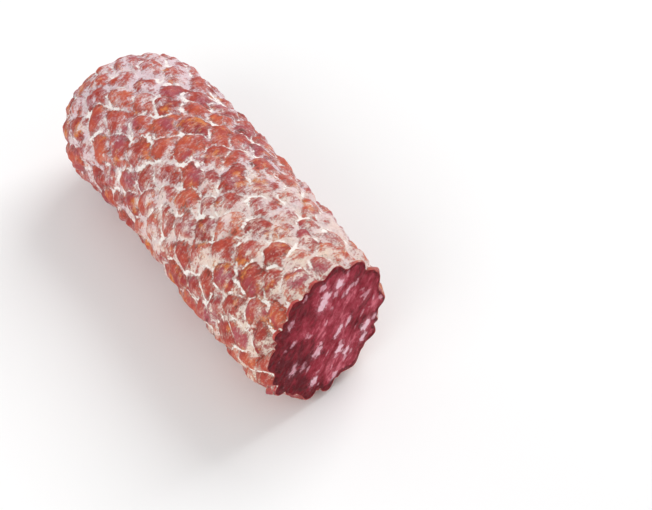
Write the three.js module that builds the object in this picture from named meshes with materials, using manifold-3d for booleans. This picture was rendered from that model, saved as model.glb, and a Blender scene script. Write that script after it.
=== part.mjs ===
// A dry-cured sausage with a rounded tip, cut slantwise at its other end.
// It dried in a diagonal net, so its skin is a lattice of pillow-shaped lumps with narrow grooves between.
// Millimetres, +Z up. It lies along X on a small flat at z = 0, with the cut face towards +X.
import * as THREE from "three";
import { mergeVertices } from "three/addons/utils/BufferGeometryUtils.js";
import Module from "manifold-3d";

// The body
const crownRadius = 38.8; // axis to the tops of the lumps
const bodyLength = 189; // middle of the cut face to the rounded tip
const tipDepth = 34; // length of the rounded tip
const bow = 3; // how far the middle of the body bends towards +Y
const sway = 1.4; // how far it then winds from side to side
const swayLength = 180; // one winding to each side
const waist = 0.5; // how much the radius swells and narrows
const waistLength = 130; // one swelling and one narrowing
const restDepth = 1.5; // how much of the lowest lumps is pressed flat
const endShrink = 3.2; // how much the dried cut end has drawn in
const endReach = 17; // how far back from the cut the drawing in starts

// The net that pressed the lumps
const meshesAround = 14;
const meshLength = 19; // one diamond, measured along the body
const lumpHeight = 2.5; // bottom of a groove to the top of a lump
const lumpFullness = 2.3; // 1 gives pyramids, and more gives flatter pillows
const grooveWidth = 0.09; // rounding at the bottom of a groove, as a share of half a diamond
const lumpTilt = 0.35; // how much higher a lump stands on its side towards the tip
const scallop = 0.16; // how far a thread bows towards the tip between two knots, in diamonds
const weakestGrip = 0.6; // depth of the grooves where the net pressed least
const tipFlattening = 1.4; // how fast the lumps sink towards the very tip
const endLumps = 0.75; // how much higher the lumps stand at the dried cut end
const cutPhase = 0.25; // where in a diamond the cut falls

// How the threads wander. Each wave has its reach in diamonds, its count around the body,
// its turns for each diamond along the body, and where it starts.
const sidewaysWaves = [
  [0.1, 2, 0.31, 0],
  [0.07, 5, -0.23, 1.7],
  [0.045, 9, 0.42, 3.1],
];
const lengthwaysWaves = [
  [0.1, 3, -0.19, 0.6],
  [0.07, 4, 0.37, 2.4],
  [0.045, 8, -0.45, 5.2],
];

// Where the net pressed less, in waves of the same kind.
const slackWaves = [
  [0.3, 3, 0.27, 4],
  [0.2, 5, -0.34, 2],
];

// The slanted cut, and the gathered tip
const cutBack = THREE.MathUtils.degToRad(7); // the top of the face leans back
const cutSide = THREE.MathUtils.degToRad(7.5); // the +Y side of the face lies back
const gatherRadius = 7; // the skin draws in to a dimple at the very tip
const gatherDepth = 3;
const gatherEdge = 3.5; // radius of the last ring of skin before the middle of the dimple

// How finely the skin is divided
const stepsPerMesh = 6;
const rowsBeforeCut = 5; // rows that the cut takes away again

const grooveRadius = crownRadius - lumpHeight;
const straightLength = bodyLength - tipDepth;
const tipArc = (tipDepth + grooveRadius) / 2; // mean radius of the tip's outline
const tipEnd = Math.acos(gatherEdge / grooveRadius);
const columns = meshesAround * stepsPerMesh;

// A repeatable number from 0 to 1 for one lump. Row and column count lumps along and around the body.
function lumpChance(row, column, salt) {
  const wave = Math.sin(row * 12.9898 + column * 78.233 + salt * 37.719) * 43758.5453;
  return wave - Math.floor(wave);
}

// The sum of such waves at a place counted in diamonds around and along the body.
function sumWaves(waves, around, along) {
  return waves.reduce((sum, [reach, count, rate, start]) => {
    const turn = (count * around) / meshesAround + rate * along;
    return sum + reach * Math.sin(2 * Math.PI * turn + start);
  }, 0);
}

// The place on the skin that the net's own coordinates fall on, found by repeated correction.
function placeOnSkin(netAround, netAlong) {
  let around = netAround;
  let along = netAlong;
  for (let pass = 0; pass < 16; pass += 1) {
    const sideways = sumWaves(sidewaysWaves, around, along);
    const lengthways = sumWaves(lengthwaysWaves, around, along);
    around = netAround - sideways;
    along = netAlong - lengthways;
  }
  return [around, along];
}

// 0 at a thread and 1 halfway between two threads, full like a pillow.
function swell(place) {
  const share = place - Math.floor(place);
  const reach = 2 * Math.min(share, 1 - share);
  const soft = Math.hypot(reach, grooveWidth) - grooveWidth;
  const full = Math.hypot(1, grooveWidth) - grooveWidth;
  return 1 - Math.pow(1 - soft / full, lumpFullness);
}

// Height of the skin over the bottom of the grooves, from 0 to about 1, in the net's coordinates.
function lump(netAround, netAlong) {
  const first = netAlong + netAround + cutPhase;
  const second = netAlong - netAround + cutPhase;
  const row = Math.floor(first) + Math.floor(second);
  const side = Math.floor(first) - Math.floor(second);
  const column = ((side % (2 * meshesAround)) + 2 * meshesAround) % (2 * meshesAround);
  const tilt = (lumpChance(row, column, 1) - 0.5) * (first - Math.floor(first) - 0.5);
  const lean = (lumpChance(row, column, 2) - 0.5) * (second - Math.floor(second) - 0.5);
  const tipward = first - Math.floor(first) + second - Math.floor(second) - 1;
  const size = 0.84 + 0.26 * lumpChance(row, column, 3) + 0.5 * (tilt + lean) + lumpTilt * tipward;
  const slack = 0.5 + sumWaves(slackWaves, netAround, netAlong);
  const grip = 1 - (1 - weakestGrip) * slack * THREE.MathUtils.smoothstep(netAlong, 0, 1);
  return size * (1 - grip * (1 - swell(first) * swell(second)));
}

// How far the skin has drawn in: 1 at the middle of the cut, and 0 where the body is still full.
function drawnIn(distance) {
  return Math.max(0, 1 - distance / endReach);
}

// The smooth body under the lumps: distance back from the cut, radius, and the way out of the surface.
function outline(distance) {
  const wave = waist * Math.cos((2 * Math.PI * (distance - 60)) / waistLength);
  if (distance <= straightLength) {
    const radius = grooveRadius + wave - endShrink * drawnIn(distance) ** 2;
    return { back: distance, radius, outX: 0, outR: 1 };
  }
  const angle = Math.min((distance - straightLength) / tipArc, tipEnd);
  const steep = Math.hypot(Math.cos(angle) * tipDepth, Math.sin(angle) * grooveRadius);
  const radius = (grooveRadius + wave * Math.cos(angle)) * Math.cos(angle);
  const dimple = gatherDepth * Math.exp(-Math.pow(radius / gatherRadius, 2));
  return {
    back: straightLength + tipDepth * Math.sin(angle) - dimple,
    radius,
    outX: (-grooveRadius * Math.sin(angle)) / steep,
    outR: (tipDepth * Math.cos(angle)) / steep,
  };
}

// Sideways bend of the body at a distance back from the cut.
function bend(back) {
  const middle = back / (bodyLength / 2) - 1;
  return bow * (1 - middle * middle) + sway * Math.sin((2 * Math.PI * (back - 85)) / swayLength);
}

// How far one thread bows where the place across it, counted in threads, is this.
function bowOfThread(place) {
  return scallop * Math.sin(Math.PI * place) ** 2;
}

// One point of the skin, in the net's coordinates.
function skinPoint(netAround, netAlong) {
  const firstBow = bowOfThread(netAlong - netAround + cutPhase);
  const secondBow = bowOfThread(netAlong + netAround + cutPhase);
  const bowedAround = netAround + (firstBow - secondBow) / 2;
  const bowedAlong = netAlong + (firstBow + secondBow) / 2;
  const [around, along] = placeOnSkin(bowedAround, bowedAlong);
  const body = outline(along * meshLength);
  const turn = (2 * Math.PI * around) / meshesAround;
  const narrowing = Math.min(1, Math.pow(body.radius / (grooveRadius - endShrink), tipFlattening));
  const rise = 1 + endLumps * Math.min(1, drawnIn(along * meshLength));
  const height = lumpHeight * narrowing * rise * lump(netAround, netAlong);
  const radius = body.radius + height * body.outR;
  const x = -body.back + height * body.outX;
  const y = radius * Math.cos(turn) + bend(body.back);
  const z = Math.max(radius * Math.sin(turn), restDepth - crownRadius);
  return new THREE.Vector3(x, y, z);
}

// A point of the axis, for the middles of the two ends.
function axisPoint(back) {
  return new THREE.Vector3(-back, bend(back), 0);
}

// True where a patch's own diagonal would cross the nearest thread, so the other diagonal is needed.
function crossesThread(netAround, netAlong) {
  const toThread = (place) => Math.abs(place - Math.round(place));
  return toThread(netAlong + netAround + cutPhase) < toThread(netAlong - netAround + cutPhase);
}

// The closed skin, a little longer than the cut sausage: a plain turned body that the net then presses.
// Its columns and rows are steps of the net, so that the edges of its patches follow the threads.
function skinGeometry() {
  const firstRow = -rowsBeforeCut;
  const lastRow = Math.floor((stepsPerMesh * (straightLength + tipArc * tipEnd)) / meshLength);
  const profile = [new THREE.Vector2(0, lastRow)];
  for (let row = lastRow; row >= firstRow; row -= 1) {
    profile.push(new THREE.Vector2(grooveRadius, row));
  }
  profile.push(new THREE.Vector2(0, firstRow));
  const geometry = new THREE.LatheGeometry(profile, columns);
  const phase = Math.round(cutPhase * stepsPerMesh) / stepsPerMesh - cutPhase;

  const { position } = geometry.attributes;
  for (let point = 0; point < position.count; point += 1) {
    const column = Math.floor(point / profile.length) % columns;
    const ring = point % profile.length;
    let place = skinPoint(column / stepsPerMesh, position.getY(point) / stepsPerMesh + phase);
    if (ring === 0) {
      place = axisPoint(bodyLength - gatherDepth - 1);
    } else if (ring === profile.length - 1) {
      place = axisPoint((firstRow / stepsPerMesh) * meshLength);
    }
    position.setXYZ(point, place.x, place.y, place.z);
  }

  const { index } = geometry;
  for (let patch = 0; patch < index.count; patch += 6) {
    const [a, b, d, c] = [0, 1, 2, 3].map((corner) => index.getX(patch + corner));
    const column = Math.floor(a / profile.length) + 0.5;
    const row = lastRow - (a % profile.length) + 0.5;
    if (crossesThread(column / stepsPerMesh, row / stepsPerMesh + phase)) {
      [a, b, c, a, c, d].forEach((corner, place) => index.setX(patch + place, corner));
    }
  }
  return geometry;
}

// A block that holds all that the slanted cut takes away.
function cutBlock() {
  const side = 4 * crownRadius;
  const block = new THREE.BoxGeometry(side, side, side);
  block.translate(side / 2, 0, 0);
  const face = new THREE.Vector3(1, Math.tan(cutSide), Math.tan(cutBack)).normalize();
  block.applyQuaternion(new THREE.Quaternion().setFromUnitVectors(new THREE.Vector3(1, 0, 0), face));
  return block;
}

const solids = await Module();
solids.setup();

function solidFrom(geometry) {
  const bare = geometry.clone();
  bare.deleteAttribute("normal");
  bare.deleteAttribute("uv");
  const merged = mergeVertices(bare, 1e-4);
  return new solids.Manifold(
    new solids.Mesh({
      numProp: 3,
      vertProperties: new Float32Array(merged.attributes.position.array),
      triVerts: new Uint32Array(merged.index.array),
    }),
  );
}

function geometryFrom(solid) {
  const mesh = solid.getMesh();
  const geometry = new THREE.BufferGeometry();
  geometry.setAttribute("position", new THREE.BufferAttribute(mesh.vertProperties, 3));
  geometry.setIndex(new THREE.BufferAttribute(mesh.triVerts, 1));
  return geometry;
}

// The whole sausage, moved so that the middle of its underside is the origin.
function sausageGeometry() {
  const cut = solidFrom(skinGeometry()).subtract(solidFrom(cutBlock()));
  const geometry = geometryFrom(cut);
  geometry.computeBoundingBox();
  const middle = geometry.boundingBox.getCenter(new THREE.Vector3());
  geometry.translate(-middle.x, -middle.y, -geometry.boundingBox.min.z);
  geometry.computeVertexNormals();
  return geometry;
}

const mouldedSkin = new THREE.MeshStandardMaterial({ color: 0xc38e87, roughness: 0.8, metalness: 0 });

const sausage = new THREE.Mesh(sausageGeometry(), mouldedSkin);
sausage.name = "sausage";

const part = new THREE.Group();
part.add(sausage);
export default part;
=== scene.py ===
import bisect
import math

import bpy
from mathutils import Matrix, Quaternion, Vector, noise


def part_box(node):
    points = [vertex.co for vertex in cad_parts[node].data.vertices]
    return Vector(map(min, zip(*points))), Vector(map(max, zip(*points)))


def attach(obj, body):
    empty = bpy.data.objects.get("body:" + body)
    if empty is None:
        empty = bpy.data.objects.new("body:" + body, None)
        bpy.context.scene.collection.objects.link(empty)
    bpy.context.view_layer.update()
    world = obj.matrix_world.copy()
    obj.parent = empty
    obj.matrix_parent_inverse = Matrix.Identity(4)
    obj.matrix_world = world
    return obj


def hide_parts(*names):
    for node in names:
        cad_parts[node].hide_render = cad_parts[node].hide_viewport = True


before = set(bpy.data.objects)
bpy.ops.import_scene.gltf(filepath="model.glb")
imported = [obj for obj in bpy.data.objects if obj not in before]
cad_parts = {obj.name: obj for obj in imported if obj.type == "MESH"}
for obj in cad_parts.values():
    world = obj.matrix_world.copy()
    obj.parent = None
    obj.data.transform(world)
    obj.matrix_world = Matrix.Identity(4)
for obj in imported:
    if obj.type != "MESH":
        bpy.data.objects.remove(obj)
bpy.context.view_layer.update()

mm = 0.001

# Camera first: the long lens and the high angle of the picture
camera = {
    "turn": -36.7,  # degrees from +X towards +Y, seen from above
    "climb": 49.8,  # degrees over the floor
    "distance": 1.023,
    "target": (0.0532, 0.0261, 0.038),
    "roll": 1.3,
    "lens": 121.5,
    "sensor": 36,
    "sight": 10,  # metres
}


def addCamera():
    turn, climb = math.radians(camera["turn"]), math.radians(camera["climb"])
    back = Vector((math.cos(climb) * math.cos(turn), math.cos(climb) * math.sin(turn), math.sin(climb)))
    bpy.ops.object.camera_add(location=Vector(camera["target"]) + camera["distance"] * back)
    eye = bpy.context.object
    eye.name = "camera"
    eye.rotation_mode = "QUATERNION"
    roll = Quaternion((0, 0, 1), math.radians(camera["roll"]))
    eye.rotation_quaternion = back.to_track_quat("Z", "Y") @ roll
    eye.data.lens = camera["lens"]
    eye.data.sensor_width = camera["sensor"]
    eye.data.clip_end = camera["sight"]
    bpy.context.scene.camera = eye
    print("camera placed")


# The body, in millimetres: x runs from 0 at the middle of the cut back to -length at the tip
body = {
    "crownRadius": 38.8,
    "length": 189,
    "tipDepth": 34,
    "bow": 3,
    "sway": 1.4,
    "swayLength": 180,
    "swayPlace": 85,
    "waist": 0.5,
    "waistLength": 130,
    "waistPlace": 60,
    "restDepth": 1.5,  # how much of the lowest lumps is pressed flat
    "endShrink": 3.2,  # how much the body draws in at the cut
    "endReach": 17,  # and from how far back
    "cutBack": 7,  # degrees that the top of the cut leans back
    "cutSide": 7.5,  # degrees that the +Y side of the cut lies back
    "slantReach": 60,  # how far back the rings still lean with the cut
}

# The diagonal net that pressed the lumps. Each wave has its reach in diamonds, its count around
# the body, its turns for each diamond along the body, and where it starts.
net = {
    "around": 14,
    "length": 19,
    "height": 2.5,
    "fullness": 2.3,
    "grooveWidth": 0.07,
    "weakestGrip": 0.6,  # how hard the net presses where it is slack
    "tipFlattening": 1.4,
    "endLumps": 0.75,  # how much taller the lumps stand at the cut
    "smallestLump": 0.84,  # share of the height
    "lumpSpread": 0.26,
    "lumpLean": 0.5,
    "phase": 0.25,
    "scallop": 0.16,  # how far the threads bow towards the tip between two knots, in diamonds
    "wobble": 0.09,  # their small wandering
    "wobbleSize": 9,
    "sidewaysWaves": [(0.1, 2, 0.31, 0), (0.07, 5, -0.23, 1.7), (0.045, 9, 0.42, 3.1)],
    "lengthwaysWaves": [(0.1, 3, -0.19, 0.6), (0.07, 4, 0.37, 2.4), (0.045, 8, -0.45, 5.2)],
    "slackWaves": [(0.3, 3, 0.27, 4), (0.2, 5, -0.34, 2)],
}

# The skin's own unevenness: size and height of each kind, in millimetres
skin = {
    "columns": 80,
    "ringStep": 3.15,
    "finer": 2,  # subdivision levels
    "dentSize": 17,
    "dentHeight": 0.5,
    "lumpTilt": 0.35,  # how much higher a lump stands on its side towards the tip
    "wrinkleSize": 5.5,
    "wrinkleHeight": 0.45,
    "wrinkleSharpness": 2.2,
    "smallWrinkles": 2.1,  # times as fine as the large ones
    "wrinkleMean": 0.8,
    "foldSize": 2.6,  # fine folds that run around the body
    "foldStretch": 4,
    "foldHeight": 0.22,
    "foldSharpness": 2.4,
    "foldMean": 0.6,
    "foldWidth": 0.1,
    "grainSize": 1.7,
    "grainHeight": 0.13,
    "gatherRadius": 7,
    "gatherDepth": 3,
    "gatherEdge": 3.5,
    "pleats": 13,
    "pleatHeight": 0.8,
    "pleatReach": 11,
    "pleatMean": 0.6,
    "pleatWander": 1.3,
    "pleatWanderSize": 9,
    # the twisted knot of skin in the middle of the tip: its steps along the body, their scales, and
    # how many folds twist around it and how deep
    "knotSteps": [(0.4, 0.7), (-1.2, 0.9), (-1.0, 0.85), (-0.3, 0.5)],
    "knotFolds": 5,
    "knotDepth": 0.16,
    "edgeWidth": 0.45,  # thickness of the skin where the cut shows it
    "edgeDepth": 1.6,
}

# How far white mould covers the skin, as shares from 0 to 1
mould = {
    "mean": 0.302,
    "lumpShare": 0.36,  # differences from lump to lump
    "patchShare": 0.24,
    "patchSize": 17,
    "spotShare": 0.4,
    "spotSize": 5.5,
    "spotSqueeze": 1.6,
    "grooveShare": 0.2,
    "grooveWidth": 0.2,
    "sideShare": 0.24,  # more on each lump's side towards the cut
    "lighterSideShare": 0.05,  # more on the +Y side, partly real mould and partly a painted lighter side where the key light falls
    "creaseShare": 0.12,  # more in the wrinkles
    # whiter and barer places: distance from the cut, degrees around, reach, and how much more
    "zones": [
        (60, 115, 12, 0.42),
        (62, 90, 11, 0.16),
        (59, 54, 13, 0.32),
        (108, 128, 10, 0.1),
        (12, 69, 11, 0.28),
        (25, 86, 11, 0.15),
        (40, 55, 13, 0.14),
        (22, 155, 12, 0.22),
        (88, 153, 16, 0.22),
        (124, 142, 9, 0.16),
        (138, 92, 11, 0.22),
        (150, 56, 10, 0.24),
        (160, 110, 12, 0.16),
        (176, 88, 10, 0.18),
        (86, 50, 15, -0.14),
        (95, 102, 13, -0.3),
        (112, 68, 13, -0.28),
        (120, 98, 10, -0.18),
        (128, 119, 11, -0.26),
        (41, 120, 9, -0.22),
        (78, 121, 9, -0.22),
        (6, 108, 8, -0.14),
        (156, 76, 9, -0.12),
        (97, 50, 9, -0.2),
        (177, 122, 10, -0.2),
    ],
}

grooveRadius = body["crownRadius"] - net["height"]
straightLength = body["length"] - body["tipDepth"]
tipArc = (body["tipDepth"] + grooveRadius) / 2
tipEnd = math.acos(skin["gatherEdge"] / grooveRadius)
cutTanBack = math.tan(math.radians(body["cutBack"]))
cutTanSide = math.tan(math.radians(body["cutSide"]))


def smoothStep(low, high, value):
    share = min(1, max(0, (value - low) / (high - low)))
    return share * share * (3 - 2 * share)


def lumpChance(row, column, salt):
    wave = math.sin(row * 12.9898 + column * 78.233 + salt * 37.719) * 43758.5453
    return wave - math.floor(wave)


def sumWaves(waves, around, along):
    total = 0
    for reach, count, rate, start in waves:
        total += reach * math.sin(2 * math.pi * (count * around / net["around"] + rate * along) + start)
    return total


def netPlace(around, along, wobble):
    # the net's own coordinates, in which a thread runs along each whole number
    netAround = around + sumWaves(net["sidewaysWaves"], around, along) + wobble[0]
    netAlong = along + sumWaves(net["lengthwaysWaves"], around, along) + wobble[1]
    straightFirst = first = netAlong + netAround + net["phase"]
    straightSecond = second = netAlong - netAround + net["phase"]
    for correction in range(3):
        bowedFirst = straightFirst - net["scallop"] * math.sin(math.pi * second) ** 2
        second = straightSecond - net["scallop"] * math.sin(math.pi * first) ** 2
        first = bowedFirst
    return first, second


def swell(place):
    # 0 at a thread and 1 halfway between two threads, full like a pillow
    share = place - math.floor(place)
    reach = 2 * min(share, 1 - share)
    soft = math.hypot(reach, net["grooveWidth"]) - net["grooveWidth"]
    full = math.hypot(1, net["grooveWidth"]) - net["grooveWidth"]
    return 1 - (1 - soft / full) ** net["fullness"]


def lumpAt(first, second):
    # how high the lump stands here, from 0 to about 1, which side of it this is, how mouldy the lump
    # is, and the marks that the materials read
    row = math.floor(first) + math.floor(second)
    column = (math.floor(first) - math.floor(second)) % (2 * net["around"])
    tilt = (lumpChance(row, column, 1) - 0.5) * (first % 1 - 0.5)
    lean = (lumpChance(row, column, 2) - 0.5) * (second % 1 - 0.5)
    side = first % 1 + second % 1 - 1
    size = net["smallestLump"] + net["lumpSpread"] * lumpChance(row, column, 3)
    size += net["lumpLean"] * (tilt + lean) + skin["lumpTilt"] * side
    netAround, netAlong = (first - second) / 2, (first + second) / 2 - net["phase"]
    slack = 0.5 + sumWaves(net["slackWaves"], netAround, netAlong)
    grip = 1 - (1 - net["weakestGrip"]) * slack * smoothStep(0, 1, netAlong)
    height = size * (1 - grip * (1 - swell(first) * swell(second)))
    toFirst, toSecond = abs(first - round(first)), abs(second - round(second))
    marks = {
        "thread": min(toFirst, toSecond),  # how far the nearest thread is, in diamonds
        "knot": math.hypot(toFirst, toSecond),  # and the nearest knot
        "hue": lumpChance(row, column, 4),
    }
    return height, side, lumpChance(row, column, 5), marks


def drawnIn(distance):
    return max(0, 1 - distance / body["endReach"])


def outline(distance):
    # how far back the groove's line lies here, its radius, and which way is out of the body there
    wave = body["waist"] * math.cos(2 * math.pi * (distance - body["waistPlace"]) / body["waistLength"])
    if distance <= straightLength:
        return distance, grooveRadius + wave - body["endShrink"] * drawnIn(distance) ** 2, 0, 1
    angle = (distance - straightLength) / tipArc
    steep = math.hypot(math.cos(angle) * body["tipDepth"], math.sin(angle) * grooveRadius)
    radius = (grooveRadius + wave * math.cos(angle)) * math.cos(angle)
    dimple = skin["gatherDepth"] * math.exp(-((radius / skin["gatherRadius"]) ** 2))
    back = straightLength + body["tipDepth"] * math.sin(angle) - dimple
    outX, outR = -grooveRadius * math.sin(angle) / steep, body["tipDepth"] * math.cos(angle) / steep
    return back, radius, outX, outR


def bend(back):
    middle = back / (body["length"] / 2) - 1
    winding = math.sin(2 * math.pi * (back - body["swayPlace"]) / body["swayLength"])
    return body["bow"] * (1 - middle * middle) + body["sway"] * winding


def unevenAt(place, size, *shift):
    # noise from about -0.5 to 0.5, with spots of this size
    return noise.noise(place / size + Vector(shift))


def skinPoint(turn, distance):
    # one place of the finished skin, with the marks that the materials read there
    around = net["around"] * turn / (2 * math.pi)
    back, radius, outX, outR = outline(distance)
    flat = Vector((radius * math.cos(turn), radius * math.sin(turn), distance))
    wobble = [2 * net["wobble"] * unevenAt(flat, net["wobbleSize"], way, 4, 0) for way in (3, 11)]
    first, second = netPlace(around, distance / net["length"], wobble)
    lump, side, cover, marks = lumpAt(first, second)
    narrowing = min(1, (radius / (grooveRadius - body["endShrink"])) ** net["tipFlattening"])
    rise = 1 + net["endLumps"] * min(1, drawnIn(distance))
    height = net["height"] * narrowing * rise * lump
    height += skin["dentHeight"] * unevenAt(flat, skin["dentSize"], 0, 0, 0)
    crease = 1 - skin["wrinkleSharpness"] * abs(unevenAt(flat, skin["wrinkleSize"], 7, 3, 1))
    finer = unevenAt(skin["smallWrinkles"] * flat, skin["wrinkleSize"], 2, 9, 4)
    crease += 0.5 * (1 - skin["wrinkleSharpness"] * abs(finer)) - skin["wrinkleMean"]
    height -= skin["wrinkleHeight"] * narrowing * (0.4 + 0.6 * lump) * crease
    hoop = Vector((flat.x / skin["foldStretch"], flat.y / skin["foldStretch"], flat.z))
    fold = abs(unevenAt(hoop, skin["foldSize"], 0, 0, 0))
    height -= skin["foldHeight"] * (skin["foldMean"] - skin["foldSharpness"] * fold)
    height += skin["grainHeight"] * unevenAt(flat, skin["grainSize"], 0, 0, 0)
    wander = skin["pleatWander"] * unevenAt(flat, skin["pleatWanderSize"], 0, 0, 0)
    pleat = abs(math.sin(0.5 * skin["pleats"] * turn + wander)) - skin["pleatMean"]
    height += skin["pleatHeight"] * pleat * math.exp(-((radius / skin["pleatReach"]) ** 2))
    out = radius + height * outR
    place = Vector((-back + height * outX, out * math.cos(turn) + bend(back), out * math.sin(turn)))
    place.z = max(place.z, body["restDepth"] - body["crownRadius"])
    spot = unevenAt(Vector((flat.x, flat.y, flat.z * mould["spotSqueeze"])), mould["spotSize"], 1, 6, 2)
    density = mould["mean"] + mould["lumpShare"] * (cover - 0.5) + mould["spotShare"] * spot
    density += mould["patchShare"] * unevenAt(flat, mould["patchSize"], 5, 1, 8)
    density += mould["grooveShare"] * (1 - smoothStep(0.02, mould["grooveWidth"], marks["thread"]))
    # more white on the +Y side: partly real mould, partly painted light on the lit side
    density += mould["lighterSideShare"] * math.cos(turn) - mould["sideShare"] * side
    density += mould["creaseShare"] * crease
    for zoneDistance, zoneTurn, reach, more in mould["zones"]:
        away = math.hypot(distance - zoneDistance, radius * (turn - math.radians(zoneTurn))) / reach
        density += more * math.exp(-away * away)
    marks["mould"] = density
    marks["fold"] = 1 - smoothStep(0, skin["foldWidth"], fold)
    return place, marks


def cutLean(place):
    return -(cutTanSide * place.y + cutTanBack * place.z)


def pick(piece):
    if bpy.context.mode != "OBJECT":
        bpy.ops.object.mode_set(mode="OBJECT")
    bpy.ops.object.select_all(action="DESELECT")
    piece.select_set(True)
    bpy.context.view_layer.objects.active = piece


def startEditing(piece):
    # edge by edge, with nothing selected
    pick(piece)
    bpy.ops.object.mode_set(mode="EDIT")
    bpy.ops.mesh.select_mode(type="EDGE")
    bpy.ops.mesh.select_all(action="DESELECT")


def addNumbers(piece, name, values):
    attribute = piece.data.attributes.new(name, "FLOAT", "POINT")
    attribute.data.foreach_set("value", values)


def extrudeRing(shift, scale, centre):
    bpy.ops.mesh.extrude_region_move(TRANSFORM_OT_translate={"value": (shift, 0, 0)})
    bpy.ops.transform.resize(value=(scale, scale, scale), center_override=centre)


def addTube():
    # a plain round tube with a rounded tip, drawn out ring by ring from the cut
    bpy.ops.object.select_all(action="DESELECT")
    bpy.ops.mesh.primitive_circle_add(
        vertices=skin["columns"], radius=grooveRadius * mm, rotation=(0, math.radians(90), 0)
    )
    piece = bpy.context.object
    piece.name = "casing"
    bpy.ops.object.transform_apply(location=False, rotation=True, scale=False)
    startEditing(piece)
    bpy.ops.mesh.select_all(action="SELECT")
    rings = round((straightLength + tipArc * tipEnd) / skin["ringStep"])
    place, size = 0, grooveRadius
    for ring in range(1, rings + 1):
        distance = ring * (straightLength + tipArc * tipEnd) / rings
        angle = max(0, (distance - straightLength) / tipArc)
        nextPlace = -min(distance, straightLength + body["tipDepth"] * math.sin(angle))
        nextSize = grooveRadius * math.cos(angle)
        extrudeRing((nextPlace - place) * mm, nextSize / size, (nextPlace * mm, 0, 0))
        place, size = nextPlace, nextSize
    for move, scale in skin["knotSteps"]:
        place += move
        extrudeRing(move * mm, scale, (place * mm, 0, 0))
    bpy.ops.mesh.merge(type="CENTER")
    bpy.ops.object.mode_set(mode="OBJECT")
    finer = piece.modifiers.new("finer", "SUBSURF")
    finer.levels = finer.render_levels = skin["finer"]
    bpy.ops.object.modifier_apply(modifier=finer.name)
    print("tube drawn:", len(piece.data.vertices), "points")
    return piece


def pressNet(piece):
    # moves every point of the tube to its place on the netted skin
    lists = {}
    for vertex in piece.data.vertices:
        x, y, z = vertex.co / mm
        turn = math.atan2(z, y)
        radius = math.hypot(y, z)
        if -x > straightLength:
            angle = math.atan2((-x - straightLength) / body["tipDepth"], radius / grooveRadius)
            distance = straightLength + tipArc * min(angle, tipEnd)
        else:
            distance = -x
        place, marks = skinPoint(turn, distance)
        if distance < body["slantReach"]:
            fade = 1 - smoothStep(0, body["slantReach"], distance)
            for correction in range(4):
                place, marks = skinPoint(turn, distance - fade * cutLean(place))
            place.x = fade * cutLean(place) - distance
        # the twisted knot inside the last ring keeps its own shape
        if radius < skin["gatherEdge"] * 0.96 and -x > straightLength:
            twist = 1 + skin["knotDepth"] * math.sin(skin["knotFolds"] * turn + 2 * x)
            middle = outline(straightLength + tipArc * tipEnd)[0]
            drop = straightLength + body["tipDepth"] * math.sin(tipEnd) - middle
            place = Vector((x + drop, y * twist + bend(-x), z * twist))
        vertex.co = place * mm
        for name, value in marks.items():
            lists.setdefault(name, []).append(value)
    for name, values in lists.items():
        addNumbers(piece, name, values)
    print("net pressed into the skin")


# The cut face, in millimetres
cut = {
    "rings": 84,
    "gap": 0.05,  # between the meat and the skin
    "dome": 1.1,  # how far the middle stands out after the edge has dried in
    "driedWidth": 2.6,  # the dark dried ring under the skin, where it is narrow
    "driedMore": 6.2,  # how much wider it is where it is widest, painted shade on that side of the face
    "driedTurn": 185,  # degrees round the face from +Y to its widest place, the side in painted shade
    "ringHeight": 0.35,
    "ringUneven": 0.6,
    "ringUnevenSize": 5,
    "ringRagged": 1.2,
    "ringRaggedSize": 1.6,
    "thickness": 1.3,
    "unevenSize": 9,
    "unevenHeight": 0.35,
    "dragSize": 1.4,
    "dragHeight": 0.14,
    "dragLength": 9,
    "dragTurn": 50,  # degrees that the knife's marks lean on the face
    "fleckHeight": 0.18,
    "crumbSize": 2.2,
    "crumbHeight": 0.2,
    "grainBend": 1.8,  # how far the small grains of fat are bent out of line
    "grainBendSize": 5,
}

# Fat in the meat. The largest grains have their place across and up from the middle of the face,
# half their length and half their width, and how white they are.
largeGrains = [
    (9.6, 24.7, 2.8, 2.3, 1),
    (0, 21.2, 4.6, 2.9, 0.85),
    (0.6, 29, 2.3, 1.8, 0.6),
    (14, 18, 2.4, 1.5, 0.7),
    (6.6, -2.3, 3.3, 1.6, 0.75),
    (13, -0.8, 4, 1.1, 0.65),
    (-19.5, 20.5, 2.6, 1.7, 0.5),
    (-6.4, -5.3, 3.6, 2.5, 0.7),
    (-21.4, -6.8, 3.4, 1.9, 0.6),
    (-15.5, -9, 2.4, 1.6, 0.5),
    (6, -13.8, 3.3, 1.6, 0.9),
    (10.4, -18.3, 2.8, 1.4, 0.9),
    (23.4, -11.3, 2.9, 2.3, 1),
    (21.6, -17.6, 2.8, 1.6, 0.75),
    (25, 7, 2.8, 1.8, 0.5),
    (-10, -23, 3.1, 2, 0.8),
    (2.5, -28.5, 3, 1.8, 0.7),
    (-11.5, 8, 2.2, 1.4, 0.4),
]

# The small ones are scattered: size in millimetres, share of the places that hold one, how much of
# its place a grain fills, stretch along the grain of the meat, and how white they are
smallGrains = [
    {"size": 6.2, "share": 0.3, "fill": 0.25, "stretch": 1.35, "shift": 17.4, "white": 0.6},
    {"size": 3.6, "share": 0.34, "fill": 0.28, "stretch": 1.8, "shift": 41.9, "white": 0.5},
]


def selectedPoints(piece):
    bpy.ops.object.mode_set(mode="OBJECT")
    points = [v.co.copy() for v in piece.data.vertices if v.select]
    bpy.ops.object.mode_set(mode="EDIT")
    return points


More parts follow.
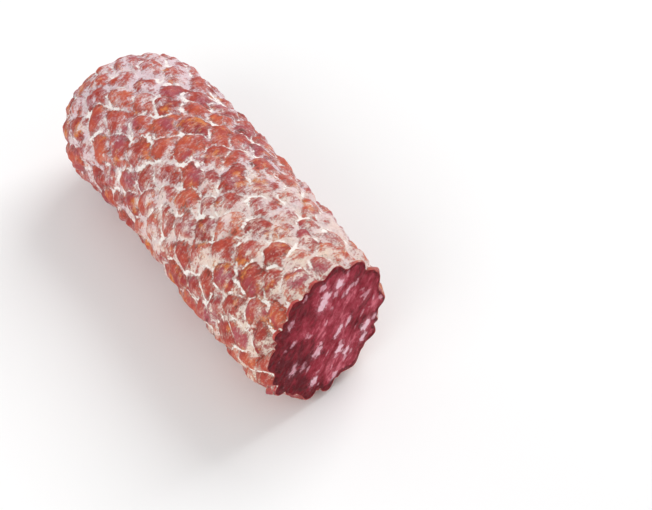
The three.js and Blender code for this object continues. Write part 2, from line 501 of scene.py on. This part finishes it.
def addCutEdge(piece):
    # turns the skin's cut edge inwards, keeps a loop of it for the meat, and shuts the end further back
    skinFaces = len(piece.data.polygons)
    startEditing(piece)
    bpy.ops.mesh.select_non_manifold()
    rim = selectedPoints(piece)
    centre = sum(rim, Vector()) / len(rim)
    inward = 1 - skin["edgeWidth"] / (body["crownRadius"] - body["endShrink"])
    lean = Vector((1, cutTanSide, cutTanBack)).normalized()
    bpy.ops.mesh.extrude_region_move()
    bpy.ops.transform.resize(value=(inward, inward, inward), center_override=centre)
    bpy.ops.mesh.duplicate()
    bpy.ops.mesh.separate(type="SELECTED")
    meat = [o for o in bpy.context.selected_objects if o is not piece][0]
    meat.name = "cutFace"
    startEditing(piece)
    bpy.ops.mesh.select_non_manifold()
    bpy.ops.mesh.extrude_region_move(TRANSFORM_OT_translate={"value": -lean * skin["edgeDepth"] * mm})
    bpy.ops.mesh.edge_face_add()
    bpy.ops.mesh.select_all(action="SELECT")
    bpy.ops.mesh.normals_make_consistent(inside=False)
    bpy.ops.object.mode_set(mode="OBJECT")
    for face in piece.data.polygons[skinFaces:]:
        face.material_index = 1
    print("cut edge turned in:", len(rim), "points round it")
    return meat, centre, lean, rim


def alongMeat(across, up):
    # the same place measured along and over the grain of the meat
    lean = math.radians(cut["dragTurn"])
    return across * math.cos(lean) + up * math.sin(lean), up * math.cos(lean) - across * math.sin(lean)


def fatAt(across, up):
    # 1 inside a grain of white fat and 0 in the lean meat, from the place on the face in millimetres
    most = 0
    rough = 0.7 * noise.noise((across / 2.4, up / 2.4, 6)) + 0.35 * noise.noise((across, up, 2))
    for grainAcross, grainUp, halfLength, halfWidth, white in largeGrains:
        along, over = alongMeat(across - grainAcross, up - grainUp)
        reach = math.hypot(along / halfLength, over / halfWidth)
        halo = 0.3 * smoothStep(2.6, 1, reach)
        most = max(most, white * smoothStep(1.3, 0.6, reach + rough), white * halo)
    bendSize = cut["grainBendSize"]
    bendAcross = cut["grainBend"] * noise.noise((across / bendSize, up / bendSize, 3.7))
    bendUp = cut["grainBend"] * noise.noise((across / bendSize, up / bendSize, 8.2))
    along, over = alongMeat(across + bendAcross, up + bendUp)
    for kind in smallGrains:
        spot = Vector((along / kind["stretch"] / kind["size"], over / kind["size"], kind["shift"]))
        distances, middles = noise.voronoi(spot)
        if noise.cell(middles[0] * 53.7) * 0.5 + 0.5 > kind["share"]:
            continue
        inside = smoothStep(kind["fill"] + 0.14, kind["fill"] - 0.1, distances[0] + 0.2 * rough)
        most = max(most, kind["white"] * inside)
    return most


def shapeMeat(piece, centre, lean, rim):
    # fills the loop ring by ring and gives the face its dried edge, widened on one side as painted shade,
    # grains of fat and knife marks
    startEditing(piece)
    bpy.ops.mesh.select_all(action="SELECT")
    shrink = 1 - cut["gap"] / (body["crownRadius"] - body["endShrink"])
    bpy.ops.transform.resize(value=(shrink, shrink, shrink), center_override=centre)
    for ring in range(cut["rings"], 1, -1):
        size = (ring - 1) / ring
        bpy.ops.mesh.extrude_region_move()
        bpy.ops.transform.resize(value=(size, size, size), center_override=centre)
    bpy.ops.mesh.extrude_region_move()
    bpy.ops.mesh.merge(type="CENTER")
    bpy.ops.mesh.select_all(action="SELECT")
    bpy.ops.mesh.normals_make_consistent(inside=False)
    bpy.ops.object.mode_set(mode="OBJECT")
    rimTurns = sorted((math.atan2(p.z - centre.z, p.y - centre.y), (p - centre).length / mm) for p in rim)
    turns = [turn for turn, reach in rimTurns]
    dried, fats = [], []
    for vertex in piece.data.vertices:
        away = vertex.co - centre
        across, up = away.y / mm, away.z / mm
        turn = math.atan2(up, across)
        reach = rimTurns[bisect.bisect_left(turns, turn) % len(turns)][1]
        edge = reach - away.length / mm
        fat = fatAt(across, up) * smoothStep(0.4, 1.6, edge)
        flat = Vector((across, up, 0))
        # the dark ring widens towards one side of the face: dried edge, and painted shade where it is
        # widest
        widest = 0.5 + 0.5 * math.cos(turn - math.radians(cut["driedTurn"]))
        width = cut["driedWidth"] + cut["driedMore"] * widest
        width *= 1 + cut["ringUneven"] * unevenAt(flat, cut["ringUnevenSize"], 0, 0, 7)
        ragged = cut["ringRagged"] * unevenAt(flat, cut["ringRaggedSize"], 0, 0, 4)
        ring = smoothStep(width, 0.3 * width, edge + ragged)
        along, over = alongMeat(across, up)
        lift = cut["unevenHeight"] * unevenAt(flat, cut["unevenSize"], 0, 0, 0)
        lift += cut["dome"] * (1 - (away.length / mm / reach) ** 2)
        lift += cut["dragHeight"] * noise.noise((over / cut["dragSize"], along / cut["dragLength"], 5))
        lift += cut["crumbHeight"] * noise.noise(Vector((across, up, 3)) / cut["crumbSize"])
        lift += cut["fleckHeight"] * (fat - 0.3)
        lift += cut["ringHeight"] * ring * (0.4 + unevenAt(flat, 1.9, 0, 0, 9))
        vertex.co += lean * lift * smoothStep(0, 0.9, edge) * mm
        dried.append(ring)
        fats.append(fat)
    addNumbers(piece, "dried", dried)
    addNumbers(piece, "fat", fats)
    startEditing(piece)
    bpy.ops.mesh.select_non_manifold()
    bpy.ops.mesh.extrude_region_move(TRANSFORM_OT_translate={"value": -lean * cut["thickness"] * mm})
    bpy.ops.mesh.edge_face_add()
    bpy.ops.object.mode_set(mode="OBJECT")
    print("meat has", len(piece.data.vertices), "points")


def tint(red, green, blue):
    # a colour as seen on screen, turned to the renderer's own scale
    return tuple(((c / 255 + 0.055) / 1.055) ** 2.4 for c in (red, green, blue)) + (1,)


def addNode(tree, kind, **values):
    node = tree.nodes.new("ShaderNode" + kind)
    for name, value in values.items():
        setattr(node, name, value)
    return node


def plug(tree, value, socket):
    if isinstance(value, bpy.types.NodeSocket):
        tree.links.new(value, socket)
    else:
        socket.default_value = value


def objectPlace(tree):
    return addNode(tree, "TexCoord").outputs["Object"]


def drawnOut(tree, place, turn, squeeze):
    # place turned about x and then squeezed, so that a cloud made with it is drawn out the other way
    turned = addNode(tree, "Mapping")
    plug(tree, place, turned.inputs["Vector"])
    turned.inputs["Rotation"].default_value = (turn, 0, 0)
    squeezed = addNode(tree, "Mapping")
    plug(tree, turned.outputs["Vector"], squeezed.inputs["Vector"])
    squeezed.inputs["Scale"].default_value = squeeze
    return squeezed.outputs["Vector"]


def cloud(tree, place, size, detail=4, rough=0.55, warp=0):
    # noise spread out to run from 0 to 1, with spots of about this size in millimetres
    node = addNode(tree, "TexNoise")
    plug(tree, place, node.inputs["Vector"])
    node.inputs["Scale"].default_value = 1 / (size * mm)
    node.inputs["Detail"].default_value = detail
    node.inputs["Roughness"].default_value = rough
    node.inputs["Distortion"].default_value = warp
    spread = addNode(tree, "MapRange")  # the noise itself keeps between about 0.27 and 0.73
    plug(tree, node.outputs["Fac"], spread.inputs["Value"])
    spread.inputs["From Min"].default_value = 0.27
    spread.inputs["From Max"].default_value = 0.73
    return spread.outputs["Result"]


def number(tree, name):
    return addNode(tree, "Attribute", attribute_name=name).outputs["Fac"]


def step(tree, value, low, high):
    node = addNode(tree, "MapRange", interpolation_type="SMOOTHSTEP")
    plug(tree, value, node.inputs["Value"])
    node.inputs["From Min"].default_value = low
    node.inputs["From Max"].default_value = high
    return node.outputs["Result"]


def calc(tree, operation, first, second):
    node = addNode(tree, "Math", operation=operation)
    plug(tree, first, node.inputs[0])
    plug(tree, second, node.inputs[1])
    return node.outputs[0]


def times(tree, first, second):
    return calc(tree, "MULTIPLY", first, second)


def total(tree, *shares):
    # the sum of each value times its share
    result = 0.0
    for value, share in shares:
        result = calc(tree, "ADD", result, times(tree, value, share))
    return result


def greatest(tree, first, *others):
    for other in others:
        first = calc(tree, "MAXIMUM", first, other)
    return first


def mix(tree, share, first, second):
    node = addNode(tree, "Mix", data_type="RGBA")
    plug(tree, share, node.inputs[0])
    plug(tree, first, node.inputs[6])
    plug(tree, second, node.inputs[7])
    return node.outputs[2]


def ramp(tree, value, stops):
    node = addNode(tree, "ValToRGB")
    plug(tree, value, node.inputs["Fac"])
    elements = node.color_ramp.elements
    for extra in stops[2:]:
        elements.new(extra[0])
    for element, (place, colour) in zip(elements, stops):
        element.position, element.color = place, tint(*colour)
    return node.outputs["Color"]


def addBump(tree, height, distance, strength, shader):
    node = addNode(tree, "Bump")
    node.inputs["Strength"].default_value = strength
    node.inputs["Distance"].default_value = distance * mm
    plug(tree, height, node.inputs["Height"])
    plug(tree, node.outputs["Normal"], shader.inputs["Normal"])


def newMaterial(name):
    material = bpy.data.materials.new(name)
    material.use_nodes = True
    return material, material.node_tree, material.node_tree.nodes["Principled BSDF"]


skinLook = {
    "bare": [  # from crimson through brick to orange
        (0.0, (134, 40, 42)),
        (0.3, (166, 58, 50)),
        (0.55, (188, 78, 60)),
        (0.78, (206, 100, 68)),
        (1.0, (228, 142, 88)),
    ],
    "lavender": (238, 224, 231),
    "cream": (246, 232, 214),
    "line": (255, 251, 246),
    "lineWidth": 0.032,  # share of a diamond, each side of a thread
    "knotWidth": 0.045,  # how much wider the lines are where they cross
    "film": 0.42,  # how white the thin film gets
    "bloom": 0.38,  # and the pale streaks on the barest lumps
    "streakSqueeze": (1, 0.34, 0.34),
    "fineSqueeze": (1, 0.5, 0.5),
}

# Stains on the skin, and painted shade in the grooves and fold valleys: each one's colour, and how much
# of it there is at the most
stainsAndShade = {
    "purple": ((168, 78, 92), 0.8),
    "ochre": ((232, 146, 66), 0.62),
    "brown": ((98, 54, 44), 0.8),
    "grooveShade": ((98, 54, 44), 0.72),
    "foldShade": ((98, 54, 44), 0.62),
    "olive": ((104, 88, 72), 0.6),
}


def layColour(tree, name, share, base):
    colour, most = stainsAndShade[name]
    return mix(tree, times(tree, share, most), base, tint(*colour))


def skinMaterial():
    material, tree, shader = newMaterial("mouldySkin")
    place = objectPlace(tree)
    sides = addNode(tree, "SeparateXYZ")
    plug(tree, place, sides.inputs[0])
    hoops = drawnOut(tree, place, 0, skinLook["streakSqueeze"])  # for streaks that run around the body
    streaks = cloud(tree, hoops, 1.7, 5, 0.65, 0.3)
    grain = cloud(tree, place, 1.3, 5, 0.72)
    fine = cloud(tree, drawnOut(tree, place, 0, skinLook["fineSqueeze"]), 0.7, 4, 0.7)
    thread = number(tree, "thread")

    # bare skin, with painted shade in the grooves and fold valleys
    blotches = cloud(tree, place, 6, 5, 0.6, 0.4)
    hue = total(tree, (number(tree, "hue"), 0.4), (blotches, 0.5), (streaks, 0.32), (1.0, -0.12))
    bare = ramp(tree, hue, skinLook["bare"])
    bare = layColour(tree, "purple", step(tree, cloud(tree, place, 15, 3), 0.5, 0.9), bare)
    ochre = total(tree, (cloud(tree, place, 9, 3), 0.75), (streaks, 0.25))
    bare = layColour(tree, "ochre", step(tree, ochre, 0.6, 0.82), bare)
    brown = total(tree, (cloud(tree, hoops, 2.4, 5, 0.7), 0.6), (cloud(tree, place, 7, 2), 0.4))
    bare = layColour(tree, "brown", step(tree, brown, 0.66, 0.82), bare)
    # painted shade: dark brown in the grooves beside the threads, where shade falls, broken up by the
    # grain
    grooveShade = times(tree, step(tree, thread, 0.2, 0.06), step(tree, grain, 0.35, 0.75))
    bare = layColour(tree, "grooveShade", grooveShade, bare)
    # painted shade: dark brown in the valleys of the fine folds
    foldShade = times(tree, number(tree, "fold"), step(tree, streaks, 0.3, 0.8))
    bare = layColour(tree, "foldShade", foldShade, bare)

    # mould: a thin film, and on it specks and streaks that close up where there is more of it
    lack = total(
        tree, (1.0, 1.22), (number(tree, "mould"), -1.0), (streaks, -0.56), (grain, -0.44), (fine, -0.44)
    )
    film = times(tree, step(tree, lack, 0.36, -0.16), skinLook["film"])
    specks = times(tree, step(tree, lack, 0.06, -0.12), total(tree, (fine, 0.3), (1.0, 0.62)))
    bloom = step(tree, total(tree, (fine, 0.5), (streaks, 0.5)), 0.5, 0.85)  # on the barest lumps too

    # white lines along the threads, wandering, broken and crumbly
    broad, narrow = cloud(tree, place, 3, 5, 0.6), cloud(tree, place, 1.6, 3)
    wander = total(tree, (broad, 0.14), (narrow, 0.05), (1.0, -0.095))
    whiteKnots = step(tree, cloud(tree, place, 14, 2), 0.4, 0.6)
    knots = times(tree, step(tree, number(tree, "knot"), 0.22, 0.05), whiteKnots)
    fromThread = total(tree, (thread, 1.0), (wander, 1.0), (knots, -skinLook["knotWidth"]))
    line = step(tree, fromThread, skinLook["lineWidth"] + 0.04, skinLook["lineWidth"] - 0.01)
    line = times(tree, line, step(tree, cloud(tree, place, 8, 3), 0.36, 0.62))
    crumbly = times(tree, line, total(tree, (fine, 0.3), (1.0, 0.8)))

    powdery = greatest(
        tree, film, specks, calc(tree, "MINIMUM", crumbly, 0.97), times(tree, bloom, skinLook["bloom"])
    )
    warmth = cloud(tree, place, 8, 3)
    warm = total(tree, (warmth, 0.7), (sides.outputs["X"], 5), (sides.outputs["Y"], -6), (1.0, -0.04))
    powder = mix(tree, warm, tint(*skinLook["lavender"]), tint(*skinLook["cream"]))
    powder = mix(tree, times(tree, line, 0.8), powder, tint(*skinLook["line"]))
    dots = total(tree, (cloud(tree, place, 0.9, 3), 0.6), (streaks, 0.4))
    colour = mix(tree, powdery, bare, powder)
    colour = layColour(tree, "olive", step(tree, dots, 0.66, 0.84), colour)
    plug(tree, colour, shader.inputs["Base Color"])
    plug(tree, total(tree, (powdery, 0.35), (1.0, 0.5)), shader.inputs["Roughness"])
    shader.inputs["Specular IOR Level"].default_value = 0.25
    addBump(tree, total(tree, (grain, 0.6), (powdery, 0.5), (streaks, 0.4)), 0.4, 0.8, shader)
    return material


def edgeMaterial():
    material, tree, shader = newMaterial("skinEdge")
    place = objectPlace(tree)
    shade = ramp(tree, cloud(tree, place, 2.4, 4), [(0.2, (150, 34, 40)), (0.8, (206, 92, 84))])
    plug(tree, shade, shader.inputs["Base Color"])
    plug(tree, total(tree, (cloud(tree, place, 1, 3), 0.2), (1.0, 0.5)), shader.inputs["Roughness"])
    return material


meatLook = {
    "lean": [
        (0.08, (98, 6, 24)),
        (0.4, (146, 30, 48)),
        (0.62, (172, 56, 74)),
        (0.92, (222, 116, 132)),
    ],
    "fat": [(0.2, (238, 142, 162)), (0.8, (255, 216, 228))],
    "dried": [(0.2, (74, 2, 12)), (0.85, (138, 22, 38))],
    "smearSqueeze": (1, 0.25, 1),
    "sideShadeAndTone": (-0.027, 0.013),  # from where to where along y the lean grows paler: painted shade on the -Y side of the face, partly the meat's own tone
    "far": (0.006, 0.022),  # and darkens again a little, partly painted shade and partly the meat's own tone
}


def meatMaterial():
    material, tree, shader = newMaterial("curedMeat")
    place = objectPlace(tree)
    sides = addNode(tree, "SeparateXYZ")
    plug(tree, place, sides.inputs[0])
    turn = math.radians(-cut["dragTurn"])
    smears = cloud(tree, drawnOut(tree, place, turn, meatLook["smearSqueeze"]), 2, 6, 0.65, 0.4)
    mottle = cloud(tree, place, 4.5, 6, 0.65, 0.5)
    broad = cloud(tree, place, 11, 3, 0.5)
    # painted shade, partly the meat's own tone: the lean darker on the -Y side of the face and again a
    # little towards +Y
    sideShadeAndTone = step(tree, sides.outputs["Y"], *meatLook["sideShadeAndTone"])
    far = step(tree, sides.outputs["Y"], *meatLook["far"])
    value = total(
        tree, (mottle, 0.6), (smears, 0.5), (broad, 0.6), (sideShadeAndTone, 0.44), (far, -0.16), (1.0, -0.7)
    )
    lean = ramp(tree, value, meatLook["lean"])
    rough = total(tree, (cloud(tree, place, 1.1, 5, 0.7), 0.44), (1.0, -0.22))
    # the dark ring round the rim: dried meat, and painted shade where it widens on the -Y side
    dried = step(tree, total(tree, (number(tree, "dried"), 1.0), (rough, 0.8)), 0.12, 0.8)
    driedColour = ramp(tree, cloud(tree, place, 2.6, 5, 0.65), meatLook["dried"])
    colour = mix(tree, times(tree, dried, 0.9), lean, driedColour)
    white = total(tree, (cloud(tree, place, 3, 5, 0.6), 0.6), (number(tree, "fat"), 0.5))
    fat = step(tree, calc(tree, "ADD", number(tree, "fat"), rough), 0.06, 0.9)
    colour = mix(tree, times(tree, fat, 0.92), colour, ramp(tree, white, meatLook["fat"]))
    plug(tree, colour, shader.inputs["Base Color"])
    plug(tree, total(tree, (cloud(tree, place, 1.5, 3), 0.25), (1.0, 0.4)), shader.inputs["Roughness"])
    shader.inputs["Specular IOR Level"].default_value = 0.15
    addBump(tree, total(tree, (cloud(tree, place, 0.7, 4, 0.7), 0.6), (smears, 0.5)), 0.25, 0.5, shader)
    return material


def floorMaterial():
    material, tree, shader = newMaterial("paleFloor")
    shade = cloud(tree, objectPlace(tree), 400, 2)
    colour = ramp(tree, shade, [(0.0, (244, 244, 244)), (1.0, (248, 248, 248))])
    plug(tree, colour, shader.inputs["Base Color"])
    shader.inputs["Roughness"].default_value = 0.9
    return material


addCamera()
casing = addTube()
pressNet(casing)
meat, cutCentre, cutOut, cutRim = addCutEdge(casing)
shapeMeat(meat, cutCentre, cutOut, cutRim)

# Sit the pieces where the solid sausage is
corners = [v.co for piece in (casing, meat) for v in piece.data.vertices]
low = Vector([min(c[axis] for c in corners) for axis in range(3)])
high = Vector([max(c[axis] for c in corners) for axis in range(3)])
boxLow, boxHigh = (Vector(corner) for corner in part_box("sausage"))
shift = (boxLow + boxHigh - low - high) / 2
shift.z = boxLow.z - low.z
casing.data.materials.append(skinMaterial())
casing.data.materials.append(edgeMaterial())
meat.data.materials.append(meatMaterial())
for piece in (casing, meat):
    for vertex in piece.data.vertices:
        vertex.co += shift
    pick(piece)
    bpy.ops.object.shade_smooth_by_angle(angle=math.radians(60))
    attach(piece, "root")
    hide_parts("sausage")
print("pieces seated, moved by", [round(v / mm, 2) for v in shift])

# The floor and the soft lights, in metres
room = {
    "floorSize": 6,
    "brightness": 0.55,
    "lights": {
        "key": {"place": (-0.3, 1.0, 1.0), "size": 0.9, "power": 13},
        "fill": {"place": (0.3, -1.0, 0.6), "size": 1.0, "power": 6.5},
    },
}

bpy.ops.object.select_all(action="DESELECT")
bpy.ops.mesh.primitive_plane_add(size=room["floorSize"])
floor = bpy.context.object
floor.name = "floor"
floor.data.materials.append(floorMaterial())

for name, light in room["lights"].items():
    place = Vector(light["place"])
    aim = place.to_track_quat("Z", "Y").to_euler()
    bpy.ops.object.light_add(type="AREA", location=place, rotation=aim)
    lamp = bpy.context.object
    lamp.name = name
    lamp.data.energy = light["power"]
    lamp.data.size = light["size"]
world = bpy.data.worlds.new("room")
bpy.context.scene.world = world
world.use_nodes = True
world.node_tree.nodes["Background"].inputs["Color"].default_value = (1, 1, 1, 1)
world.node_tree.nodes["Background"].inputs["Strength"].default_value = room["brightness"]
bpy.context.scene.view_settings.view_transform = "Standard"
print("floor and lights set")
